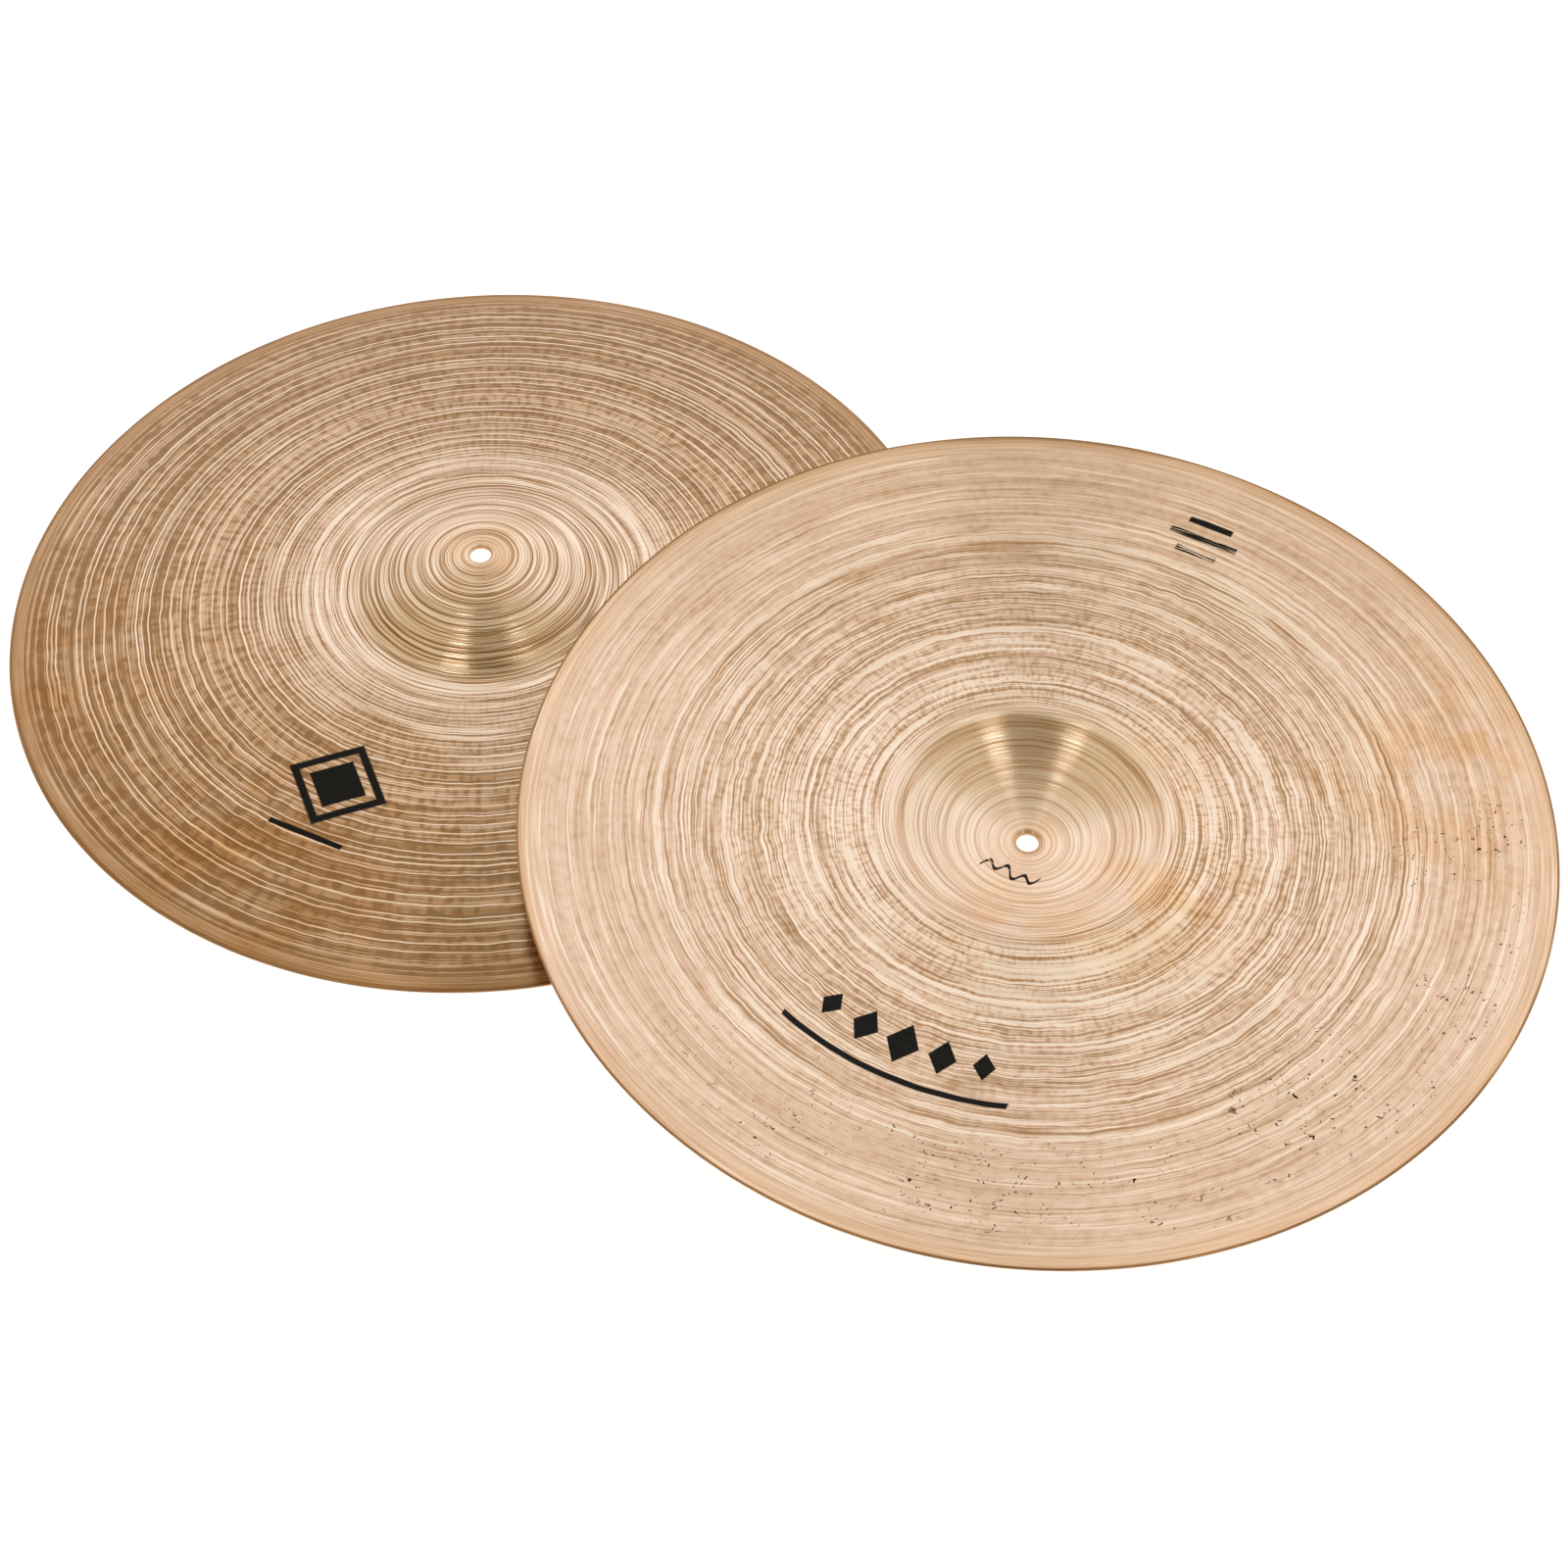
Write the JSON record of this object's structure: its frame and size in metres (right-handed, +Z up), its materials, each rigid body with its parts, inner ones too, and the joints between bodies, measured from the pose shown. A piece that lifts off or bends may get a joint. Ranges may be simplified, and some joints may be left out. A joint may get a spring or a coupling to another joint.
{
  "type": "hand cymbals",
  "caption": "Orchestral hand cymbals laid down overlapping, cup up beneath and cup down on top. Each is a thin lathed bronze dish with a raised cup and a strap hole.",
  "frame": {"origin": "on the table, midway between the two cymbals' axes, which is the middle of the pair's footprint", "axes": "+X from the lower cymbal towards the upper one, +Y away from the viewer, +Z up"},
  "size_m": [0.8347, 0.6988, 0.0481],
  "materials": {
    "lathed_bronze": "unlacquered tin bronze, lathed in fine rings, satin, lightly tarnished"
  },
  "bodies": {
    "lower_cymbal": {"lower_cymbal": "lathed_bronze"},
    "upper_cymbal": {"upper_cymbal": "lathed_bronze"}
  },
  "joints": [
    {"name": "upper_cymbal_lift", "type": "slide", "parent": "lower_cymbal", "child": "upper_cymbal", "axis": [0, 0, 1], "range_m": [0, 0.15]}
  ]
}
